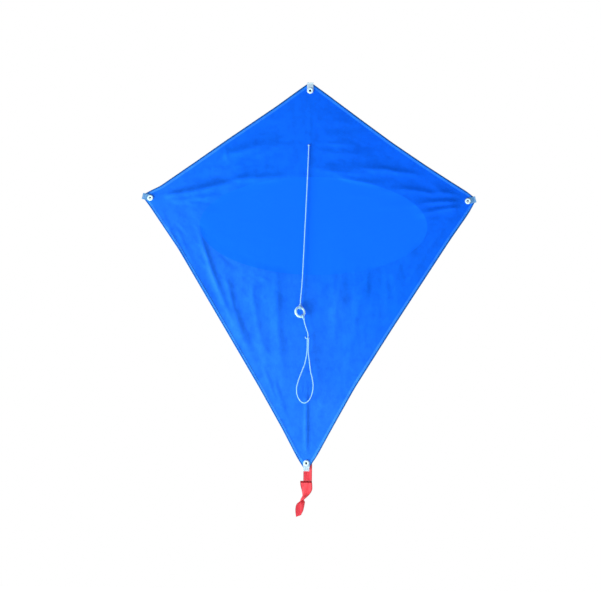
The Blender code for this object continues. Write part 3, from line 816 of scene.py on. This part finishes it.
CORNERS = [
    flat(0, NOSE.z + NOSE_BEYOND),
    flat(RIGHT.x + WING_BEYOND, RIGHT.z + WING_RISE),
    flat(0, TAIL.z - TAIL_BEYOND),
    flat(LEFT.x - WING_BEYOND, LEFT.z + WING_RISE),
]
EDGE_NAMES = ["upper_right", "lower_right", "lower_left", "upper_left"]


def edge_lines():
    """Each edge as (start, end, inward unit normal), clockwise from the nose as seen from the front."""
    lines = []
    for i in range(4):
        start = CORNERS[i]
        end = CORNERS[(i + 1) % 4]
        along = (end - start) / np.linalg.norm(end - start)
        lines.append((start, end, flat(along[1], -along[0])))
    return lines


EDGES = edge_lines()


def hollow_curve(knots):
    """A smooth curve near the knots, as (shares, insets), that keeps both ends where they are."""
    shares = np.linspace(0, 1, 401)
    rough = np.interp(shares, *zip(*knots)) * MM
    reach = 12
    window = np.hanning(2 * reach + 3)[1:-1]
    padded = np.concatenate([-rough[reach:0:-1], rough, -rough[-2:-reach - 2:-1]])
    return shares, np.convolve(padded, window / window.sum(), "valid")


HOLLOW_CURVES = [hollow_curve(knots) for knots in EDGE_HOLLOWS]


def inset_corner(i, inset):
    """Where the two edges at a corner cross, once both are moved in."""
    before = EDGES[i - 1]
    after = EDGES[i]
    along_before = before[1] - before[0]
    along_after = after[1] - after[0]
    a = before[0] + before[2] * inset
    b = after[0] + after[2] * inset
    share = np.linalg.solve(np.column_stack([along_before, -along_after]), b - a)[0]
    return a + along_before * share


def inset_edge(i, inset, t):
    """Points at shares t along an edge's curve, moved in by the inset."""
    start = inset_corner(i, inset)
    end = inset_corner((i + 1) % 4, inset)
    t = np.asarray(t, float)
    hollow = np.interp(t, *HOLLOW_CURVES[i])
    return start + (end - start) * t[:, None] + EDGES[i][2] * hollow[:, None]


def edge_distance(x, z):
    """How far each point is from the nearest edge of the sail."""
    nearest = np.full(x.shape, 1e9)
    for (start, end, inward), curve in zip(EDGES, HOLLOW_CURVES):
        along = end - start
        t = np.clip(((x - start[0]) * along[0] + (z - start[1]) * along[1]) / (along @ along), 0, 1)
        away = (x - start[0]) * inward[0] + (z - start[1]) * inward[1] - np.interp(t, *curve)
        nearest = np.minimum(nearest, away)
    return nearest


def smoothstep(value, low, high):
    t = np.clip((value - low) / (high - low), 0, 1)
    return t * t * (3 - 2 * t)


def stretch_of(value, start, risen, falling, end):
    """1 from risen to falling, and 0 before the start and past the end."""
    return smoothstep(value, start, risen) * (1 - smoothstep(value, falling, end))


# Folds that stand forward of the sail: start, end, width and height in millimetres
FOLDS = [
    ((-276, -194), (-92, -149), 8.6, 5.4),
    ((-262, -202), (-130, -178), 7.0, 2.2),
    ((-150, -160), (8, -144), 9.0, 2.6),
    ((-4, -138), (120, -148), 7.0, 2.2),
    ((218, -152), (16, -141), 8.0, 2.9),
    ((-170, -122), (-50, -82), 13.0, 3.2),
    ((-152, -98), (-146, -134), 4.0, 1.4),
    ((-96, -122), (-30, -66), 10.0, 2.0),
    ((286, -197), (176, -206), 5.0, 4.0),
    ((280, -206), (186, -225), 5.4, 4.0),
    ((284, -190), (210, -178), 4.8, 2.8),
    ((232, -186), (140, -174), 5.0, 2.4),
    ((46, -152), (138, -168), 5.0, 1.9),
    ((50, -106), (156, -124), 13.0, 0.9),
    ((4, -92), (80, -96), 3.6, 1.2),
    ((4, -101), (64, -116), 3.6, 1.0),
    ((-8, -95), (-62, -101), 3.6, 1.0),
    ((-268, -214), (-158, -404), 6.0, 3.4),
    ((-240, -244), (-128, -452), 6.5, 2.8),
    ((-200, -246), (-104, -478), 7.5, 3.8),
    ((-150, -330), (-84, -520), 9.0, 2.5),
    ((-104, -330), (-64, -520), 9.0, 2.0),
    ((-56, -325), (-34, -560), 12.0, 3.2),
    ((-82, -490), (-30, -602), 4.0, 1.5),
    ((-60, -516), (-14, -636), 3.6, 1.9),
    ((-36, -580), (-9, -654), 2.8, 1.3),
    ((28, -335), (22, -440), 8.0, 1.4),
    ((62, -330), (44, -480), 12.0, 1.8),
    ((112, -318), (72, -500), 10.0, 1.6),
    ((266, -216), (150, -400), 7.0, 2.0),
    ((228, -230), (120, -384), 9.0, 1.6),
    ((40, -520), (18, -610), 5.0, 1.3),
    ((22, -600), (9, -655), 3.5, 1.3),
    ((0, -20), (-24, -80), 5.0, 1.2),
    ((2, -20), (32, -86), 6.0, 1.2),
]


def fold_height(x, z, start, end, width, height):
    """A fold that widens along its length and fades at both ends."""
    along = np.array(end, float) - np.array(start, float)
    long = np.linalg.norm(along)
    t = ((x - start[0]) * along[0] + (z - start[1]) * along[1]) / long**2
    off = ((x - start[0]) * along[1] - (z - start[1]) * along[0]) / long
    bow = 0.03 * long * np.sin(math.pi * np.clip(t, 0, 1))
    across = np.abs(off - bow) / (width * (0.55 + 0.6 * np.clip(t, 0, 1)))
    falloff = smoothstep(t, -0.04, 0.22) * (1 - smoothstep(t, 0.55, 1.05))
    return height * falloff * np.exp(-(across**1.5))


def small_creases():
    """Short, shallow creases that run with the cloth's pull, from each wing corner towards the spine."""
    rng = np.random.default_rng(11)
    creases = []
    for _ in range(210):
        side = rng.choice([-1, 1])
        x = side * rng.uniform(20, 250)
        low = -190 - 480 * (1 - abs(x) / 300)
        z = rng.uniform(low + 25, -60 - 120 * abs(x) / 300)
        pull = np.array([side * 290 - x, -196 - z])
        pull = pull / np.linalg.norm(pull)
        long = rng.uniform(18, 60)
        end = (x - pull[0] * long, z - pull[1] * long)
        wide = rng.uniform(1.8, 5.5)
        creases.append(((x, z), end, wide, rng.uniform(0.2, 0.75) * rng.choice([-1, 1])))
    return creases


CREASES = small_creases()


def waver(x, z, wide, tall):
    """Smooth noise in the sail's plane, from -1 to 1, with its own size each way."""
    values = [noise.noise(Vector((a / wide, 3.7, b / tall))) for a, b in zip(x.ravel(), z.ravel())]
    return np.array(values).reshape(x.shape)


def sail_depth(x, z):
    """How far the cloth's middle lies behind the flat plane, at places in metres."""
    mx = np.asarray(x, float) / MM
    mz = np.asarray(z, float) / MM
    forward = np.zeros(mx.shape)
    for start, end, width, height in FOLDS + CREASES:
        forward = forward + fold_height(mx, mz, start, end, width, height)
    low = smoothstep(-mz, 210, 340)
    swell = 2.6 * waver(mx, mz, 95.0, 95.0) + 1.0 * waver(mx + 400, mz, 34.0, 34.0)
    hanging = 0.75 * waver(mx, mz, 13.0, 85.0) + 0.3 * waver(mx + 90, mz, 6.0, 26.0)
    pulled = 0.6 * waver(mx, mz, 70.0, 14.0) + 0.25 * waver(mx, mz + 90, 24.0, 6.0)
    forward = forward + swell + hanging * low + pulled * (1 - low)
    print_x = (mx - PANEL_CENTRE[0] / MM) / (PANEL_HALF[0] / MM)
    print_z = (mz - PANEL_CENTRE[1] / MM) / (PANEL_HALF[1] / MM)
    panel = np.sqrt(print_x**2 + print_z**2)
    forward = forward * (0.25 + 0.75 * smoothstep(panel, 0.88, 1.05))
    beside_string = smoothstep(np.abs(mx + 7), 16, 60)
    raised = forward * (0.28 + 0.72 * beside_string)
    forward = np.where(forward > 0, raised, forward * (0.2 + 0.5 * beside_string))
    nose_ridge = np.exp(-((mx / 3.4) ** 2)) * stretch_of(-mz, 10, 30, 95, 150)
    tail_ridge = np.exp(-(((mx + 0.9) / 2.9) ** 2)) * stretch_of(-mz, 505, 590, 645, 664)
    forward = forward + (0.55 * nose_ridge + 2.7 * tail_ridge)
    inset = edge_distance(np.asarray(x, float), np.asarray(z, float)) / MM
    forward = forward * (0.25 + 0.75 * smoothstep(inset, 2, 34))
    for eyelet in EYELETS:
        away = np.hypot(mx - eyelet.x / MM, mz - eyelet.z / MM)
        forward = forward * smoothstep(away, 8, 34)
    hole = np.hypot(mx - BRIDLE_HOLE.x / MM, mz - BRIDLE_HOLE.z / MM)
    forward = forward * smoothstep(hole, 1.5, 9)
    return -forward * MM


def hem_relief(x, z):
    """How far the hem's layers push the front forward, in metres, with a groove along its stitches."""
    inset = edge_distance(x, z) / MM
    band = smoothstep(inset, 0.0, 0.6) * (1 - smoothstep(inset, 5.0, 6.2))
    groove = np.exp(-(((inset - STITCH_LINE / MM) / 0.35) ** 2))
    relief = HEM_RISE * band - STITCH_GROOVE * groove
    for eyelet in EYELETS:
        relief = relief * smoothstep(np.hypot(x - eyelet.x, z - eyelet.z) / MM, 15, 24)
    return relief


def outline_cutter():
    """A pin through each eyelet and the bridle hole, and a block across each corner's point."""
    bm = bmesh.new()
    angles = (math.pi / 2, WING_STRAP_ANGLE, -math.pi / 2, math.pi - WING_STRAP_ANGLE)
    holes = [(eyelet, RIVET_HOLE_RADIUS) for eyelet in EYELETS]
    holes.append((BRIDLE_HOLE, BRIDLE_HOLE_RADIUS))
    for centre, radius in holes:
        turn = Matrix.Translation((centre.x, 0, centre.z)) @ Matrix.Rotation(math.pi / 2, 4, "X")
        bmesh.ops.create_cone(
            bm, cap_ends=True, segments=32, radius1=radius, radius2=radius, depth=8 * MM, matrix=turn
        )
    block = 20 * MM
    for eyelet, angle in zip(EYELETS, angles):
        outward = Vector((math.cos(angle), 0, math.sin(angle)))
        middle = Vector((eyelet.x, 0, eyelet.z)) + outward * (CUT_REACH + block / 2)
        turn = Matrix.Translation(middle) @ Matrix.Rotation(-angle, 4, "Y")
        bmesh.ops.create_cube(bm, size=block, matrix=turn)
    return add_cutter("outline_cutter", bm)


def sail_grid():
    """One layer of the sail, flat: hem rows that follow the edges, and a smooth patch inside them."""
    shares = np.arange(SAIL_CELLS) / SAIL_CELLS
    points = []
    for row in HEM_ROWS:
        for i in range(4):
            points.append(inset_edge(i, row * MM, shares))
    points = np.concatenate(points)
    loop = 4 * SAIL_CELLS
    faces = bands(len(HEM_ROWS), loop)
    rim = points[-loop:]
    rim_start = len(points) - loop
    n = SAIL_CELLS
    top = rim[np.arange(n + 1)]
    right = rim[n + np.arange(n + 1)]
    bottom = rim[3 * n - np.arange(n + 1)]
    left = rim[(4 * n - np.arange(n + 1)) % loop]
    u = (np.arange(n + 1) / n)[:, None, None]
    v = (np.arange(n + 1) / n)[None, :, None]
    patch = (1 - v) * top[:, None] + v * bottom[:, None] + (1 - u) * left[None, :] + u * right[None, :]
    patch -= (1 - v) * ((1 - u) * top[0] + u * top[n]) + v * ((1 - u) * bottom[0] + u * bottom[n])
    index = np.full((n + 1, n + 1), -1)
    for k in range(n + 1):
        index[k, 0] = rim_start + k
        index[n, k] = rim_start + n + k
        index[k, n] = rim_start + 3 * n - k
        index[0, k] = rim_start + (4 * n - k) % loop
    inner = []
    for a in range(1, n):
        for b in range(1, n):
            index[a, b] = len(points) + len(inner)
            inner.append(patch[a, b])
    for a in range(n):
        for b in range(n):
            faces.append((index[a, b], index[a + 1, b], index[a + 1, b + 1], index[a, b + 1]))
    points = np.concatenate([points, np.array(inner)])
    return points, [tuple(int(i) for i in f) for f in faces]


def make_sail():
    points, faces = sail_grid()
    vertices = [(x, 0.0, z) for x, z in points]
    sail = add_solid("sail_cloth", vertices, faces, SAIL_CLOTH)
    thicken(sail, SAIL_THICKNESS)
    cut_away(sail, outline_cutter())
    mesh = sail.data
    co = np.zeros(len(mesh.vertices) * 3)
    mesh.vertices.foreach_get("co", co)
    co = co.reshape(-1, 3)
    inset = edge_distance(co[:, 0], co[:, 2]) / MM
    co[:, 1] += sail_depth(co[:, 0], co[:, 2]) - hem_relief(co[:, 0], co[:, 2]) * (co[:, 1] < 0)
    mesh.vertices.foreach_set("co", co.ravel())
    mesh.materials.append(HEM_CLOTH)
    mesh.materials.append(HEM_SHADE_CLOTH)
    # Faces on the hem take the hem's cloth, and its outermost rows take painted shade
    for face in mesh.polygons:
        near = min(inset[i] for i in face.vertices) * MM
        far = max(inset[i] for i in face.vertices) * MM
        # Painted shade along the lower-left hem's inner edge, the side that the light from the lower
        # left leaves in shadow
        lower_left = face.center.x < 0 and face.center.z < LEFT.z
        seam_shade = lower_left and near > SEAM_SHADE_LINE and far < HEM_WIDTH
        face.material_index = 2 if seam_shade else int(far < HEM_WIDTH) + int(far < HEM_SHADE_EDGE)
    soften_shading(mesh)
    mesh.update()
    stand_in(sail, "airframe", "sail")
    return sail


def hem_strip(i):
    """The hem's turned-in layer behind the sail along one edge."""
    steps = 150
    t = np.linspace(0.035, 0.965, steps + 1)
    back = SAIL_THICKNESS / 2
    lift = 0.12 * MM if i in (1, 2) else 0.0
    section = [
        (0.15, 0.02), (0.02, 0.12), (0.15, 0.22), (1.6, 0.26), (3.4, 0.22), (4.5, 0.12),
        (5.0, 0.2), (5.2, 0.1), (5.0, 0.02), (3.4, 0.02), (1.6, 0.03),
    ]
    rings = []
    for inset, rise in section:
        place = inset_edge(i, inset * MM, t)
        depth = sail_depth(place[:, 0], place[:, 1])
        y = depth + back + lift + rise * MM
        rings.append(np.column_stack([place[:, 0], y, place[:, 1]]))
    vertices = np.array(rings).transpose(1, 0, 2).reshape(-1, 3)
    count = len(section)
    faces = bands(steps + 1, count)
    faces.append(tuple(range(count)))
    faces.append(tuple(steps * count + k for k in reversed(range(count))))
    strip = add_solid(f"hem_{EDGE_NAMES[i]}", vertices, faces, HEM_CLOTH)
    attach(strip, "airframe")
    return strip


def stitch_row(i):
    """One edge's stitches, front and back, as short threads that dip into the cloth at their ends."""
    length = np.linalg.norm(CORNERS[(i + 1) % 4] - CORNERS[i])
    margin = 19 * MM / length
    count = int(length * (1 - 2 * margin) / STITCH_STEP)
    sides = 5
    bends = [(-0.5, -0.35), (-0.3, 0.45), (0.0, 0.62), (0.3, 0.45), (0.5, -0.35)]
    vertices = []
    faces = []
    for side in (-1, 1):
        for s in range(count):
            middle = margin + (1 - 2 * margin) * (s + 0.5) / count
            if side > 0:
                middle += STITCH_STEP / 2 / length
            shares = [middle + b[0] * STITCH_LENGTH / length for b in bends]
            place = inset_edge(i, STITCH_LINE, shares)
            along = place[-1] - place[0]
            along = along / np.linalg.norm(along)
            across = Vector((-along[1], 0, along[0]))
            depth = sail_depth(place[:, 0], place[:, 1])
            layer = HEM_LAYER if side > 0 else hem_relief(place[:, 0], place[:, 1])
            surface = SAIL_THICKNESS / 2 + layer
            first = len(vertices)
            for (x, z), y, (_, rise) in zip(place, depth + side * surface, bends):
                centre = Vector((x, y + side * rise * THREAD_RADIUS, z))
                for k in range(sides):
                    turn = 2 * math.pi * k / sides
                    out = across * math.cos(turn) + Vector((0, side * math.sin(turn), 0))
                    vertices.append(centre + out * THREAD_RADIUS)
            faces += bands(len(bends), sides, first)
            faces.append(tuple(first + k for k in range(sides)))
            faces.append(tuple(first + (len(bends) - 1) * sides + k for k in reversed(range(sides))))
    row = add_solid(f"stitches_{EDGE_NAMES[i]}", vertices, faces, THREAD)
    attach(row, "airframe")
    return row


SAIL = make_sail()
ON_SAIL = [hem_strip(i) for i in range(4)] + [stitch_row(i) for i in range(4)]


# ---- ribbon tail


def ribbon_solid(name, rows, crease_shade_rows=()):
    """A thin closed ribbon from rows of points across it, with painted shade along its selvages and on
    its creased rows.
    """
    count = len(rows[0])
    vertices = [p for row in rows for p in row]
    faces = []
    for a in range(len(rows) - 1):
        for k in range(count - 1):
            p = a * count + k
            faces.append((p, p + count, p + count + 1, p + 1))
    ribbon = add_solid(name, vertices, faces, RIBBON)
    ribbon.data.materials.append(RIBBON_PAINTED_SHADE)
    for i, face in enumerate(ribbon.data.polygons):
        row, column = divmod(i, count - 1)
        # Selvage columns and crease rows are painted with shade
        face.material_index = int(row in crease_shade_rows or column in (0, count - 2))
    thicken(ribbon, RIBBON_THICKNESS)
    apply_modifiers(ribbon)
    return ribbon


def make_tail_top():
    """The ribbon's top: across the spine rod, round a soft bend and down to the fold."""
    across = np.linspace(RIBBON_LEFT, RIBBON_RIGHT, 25)
    bend_y = RIBBON_Y - FLAP_BEND
    bend_z = FLAP_Z - FLAP_BEND
    line = [(FLAP_FRONT_Y + s * (bend_y - FLAP_FRONT_Y), FLAP_Z) for s in np.linspace(0, 1, 22)]
    for a in np.linspace(0, math.pi / 2, 10)[1:]:
        line.append((bend_y + FLAP_BEND * math.sin(a), bend_z + FLAP_BEND * math.cos(a)))
    for s in np.linspace(0, 1, 46)[1:]:
        line.append((RIBBON_Y, bend_z + s * (FOLD_Z + 1.0 * MM - bend_z)))
    rows = []
    for y, z in line:
        row = []
        down = (FLAP_Z - z) / (FLAP_Z - FOLD_Z)
        for x in across:
            ripple = 0.55 * MM * math.sin(x / MM * 0.42 + 0.6) * down * (1 - down) * 4
            ripple += 0.3 * MM * noise.noise(Vector((x / MM / 5, 9.1, z / MM / 9))) * min(1, down * 6)
            row.append((x, y + ripple * (1 if down > 0.05 else 0), z))
        rows.append(row)
    top = ribbon_solid("ribbon_top", rows)
    hole = bmesh.new()
    bmesh.ops.create_cone(
        hole, cap_ends=True, segments=32, radius1=ROD_SLIT_RADIUS, radius2=ROD_SLIT_RADIUS,
        depth=6 * MM, matrix=Matrix.Translation((0, SPINE.y, FLAP_Z)),
    )
    cut_away(top, add_cutter("rod_hole", hole))
    soften_shading(top.data)
    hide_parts("tail_flap", "tail_upper")
    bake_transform(top)


def make_streamer():
    """The ribbon's loose end: a rolled crease at the fold, half a turn, and a slanted cut."""
    spans = 90
    columns = 21
    left = smooth_route(in_metres(STREAMER_LEFT), spans=spans)
    right = smooth_route(in_metres(STREAMER_RIGHT), spans=spans)
    rows = []
    for i, (a, b) in enumerate(zip(left, right)):
        down = i / spans
        after = min(i + 1, spans)
        before = max(i - 1, 0)
        face = np.cross(b - a, left[after] + right[after] - left[before] - right[before])
        face = face / np.linalg.norm(face)
        row = []
        for share in np.linspace(0, 1, columns):
            curl = 1.5 * MM * math.sin(math.pi * share) * math.sin(math.pi * min(1, down * 1.6)) ** 2
            curl += 0.45 * MM * math.sin(share * 9 + down * 7) * math.sin(math.pi * down)
            curl -= WAIST_CURL * math.sin(math.pi * share) * math.exp(-(((down - 0.5) / 0.14) ** 2))
            place = a + (b - a) * share + face * curl
            place[1] -= ROLL_RADIUS * max(0.0, 1 - down / 0.16) ** 2
            row.append(tuple(place))
        rows.append(row)
    roll = []
    for turn in np.radians(np.linspace(-60, 165, 16)):
        y = RIBBON_Y + ROLL_RADIUS * math.cos(turn)
        z = FOLD_Z + ROLL_RADIUS * math.sin(turn)
        row = []
        for share in np.linspace(0, 1, columns):
            x = left[0][0] + (right[0][0] - left[0][0]) * share
            row.append((x, y, z))
        roll.append(row)
    rows = roll + rows
    streamer = ribbon_solid("ribbon_streamer", rows, crease_shade_rows=range(4, 19))
    soften_shading(streamer.data)
    stand_in(streamer, "tail_end", "tail_streamer")


make_tail_top()
make_streamer()


# ---- fittings and rods


def turned_piece(name, profile, centre):
    """An enamelled piece turned about an axis to the front; its profile is (radius, height forward)."""
    sides = 64
    route = in_metres((r, h, 0) for r, h in [*profile, profile[0]])
    line = smooth_route(route, spans=4 * len(profile))[:-1]
    count = len(line)
    vertices = []
    for i in range(sides):
        turn = 2 * math.pi * i / sides
        for r, h, _ in line:
            vertices.append((centre.x + r * math.cos(turn), -h, centre.z + r * math.sin(turn)))
    return add_solid(name, vertices, round_trip(sides, count), ENAMEL)


# Turned profiles, in millimetres
EYELET_PROFILE = [
    (2.0, 2.25), (2.2, 2.65), (2.7, 2.95), (3.5, 3.05), (4.4, 2.85), (5.0, 2.4), (5.1, 1.95),
    (4.9, 1.75), (3.6, 1.75), (2.3, 1.7), (2.25, 0.2), (2.25, -1.4), (3.5, -1.35), (3.7, -1.75),
    (3.3, -2.05), (2.4, -2.1), (2.05, -1.7), (2.0, 0.2),
]
WASHER_PROFILE = [
    (2.6, -0.7), (3.6, -0.62), (4.6, -0.68), (4.8, -0.9), (4.6, -1.15), (3.6, -1.2), (2.6, -1.15),
    (2.5, -0.9),
]


def moulded_cap(corner):
    """The corner's cap, with the soft edges and fillets of a moulding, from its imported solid."""
    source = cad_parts[corner + "_cap"]
    mesh = source.data.copy()
    mesh.name = corner + "_strap_cap"
    cap = new_object(corner + "_strap_cap", mesh)
    weld = cap.modifiers.new("weld", "WELD")
    weld.merge_threshold = 0.001 * MM
    remesh = cap.modifiers.new("soften", "REMESH")
    remesh.mode = "VOXEL"
    remesh.voxel_size = 0.26 * MM
    remesh.use_smooth_shade = True
    smooth = cap.modifiers.new("round", "SMOOTH")
    smooth.factor = 0.5
    smooth.iterations = 4
    apply_modifiers(cap)
    cap.data.materials.clear()
    # The wing caps wear the copy with the sail's blue light painted in
    cap.data.materials.append(SAIL_LIT_MILKY if "wing" in corner else MILKY)
    cap.data.materials.append(CLEAR)
    for face in cap.data.polygons:
        face.material_index = int(face.center.y > 0.4 * MM)
    stand_in(cap, "airframe", corner + "_cap")


def make_corners():
    for corner, centre in zip(("nose", "right_wing", "tail", "left_wing"), EYELETS):
        moulded_cap(corner)
        eyelet = turned_piece(corner + "_rivet_eyelet", EYELET_PROFILE, centre)
        stand_in(eyelet, "airframe", corner + "_eyelet")
        washer = turned_piece(corner + "_back_washer", WASHER_PROFILE, centre)
        stand_in(washer, "airframe", corner + "_washer")


def finish_node(name, mat, bevel):
    """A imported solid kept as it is, with its surface material and softened edges."""
    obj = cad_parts[name]
    obj.data.materials.clear()
    obj.data.materials.append(mat)
    if bevel:
        weld = obj.modifiers.new("weld", "WELD")
        weld.merge_threshold = 0.001 * MM
        round_over = obj.modifiers.new("edges", "BEVEL")
        round_over.width = bevel
        round_over.segments = 2
        round_over.limit_method = "ANGLE"
        round_over.angle_limit = math.radians(40)


make_corners()
finish_node("spine_rod", GLASS_ROD, 0)
finish_node("spreader_rod", GLASS_ROD, 0)
finish_node("cross_connector", BLACK, 0.35 * MM)
